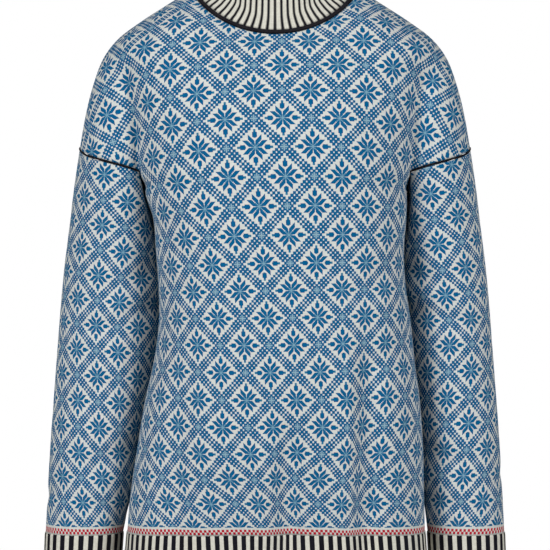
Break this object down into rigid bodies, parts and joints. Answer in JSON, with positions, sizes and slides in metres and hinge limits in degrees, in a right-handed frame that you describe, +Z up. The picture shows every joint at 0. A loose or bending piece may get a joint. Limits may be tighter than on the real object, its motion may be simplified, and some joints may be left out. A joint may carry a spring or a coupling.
{
  "type": "drop-shoulder jacquard pullover with mock neck",
  "caption": "Women's long-sleeved drop-shoulder knitted pullover in its worn, hollow form: ribbed mock neck, hem and cuffs, corded neckline and piped armholes.",
  "frame": {"origin": "centre of the neck at the height of the high shoulder points, where the wearer's shoulders carry the garment", "axes": "+Z up, -Y towards the front of the garment, +X towards the wearer's left"},
  "size_m": [0.5414, 0.2471, 0.771],
  "materials": {
    "jacquard_knit": "matte two-colour jacquard knit, blue on ivory, with a fine fuzz",
    "collar_rib": "matte ivory rib knit with thin black grooves",
    "striped_rib": "matte rib knit in even black and ivory stripes",
    "black_cord": "matte black crocheted cord"
  },
  "bodies": {
    "root": {"front": "jacquard_knit", "back": "jacquard_knit", "sleeve_right": "jacquard_knit", "sleeve_left": "jacquard_knit", "collar": "collar_rib", "hem_rib": "striped_rib", "cuff_right": "striped_rib", "cuff_left": "striped_rib", "neck_cord": "black_cord", "armhole_piping_right": "black_cord", "armhole_piping_left": "black_cord"}
  },
  "joints": []
}
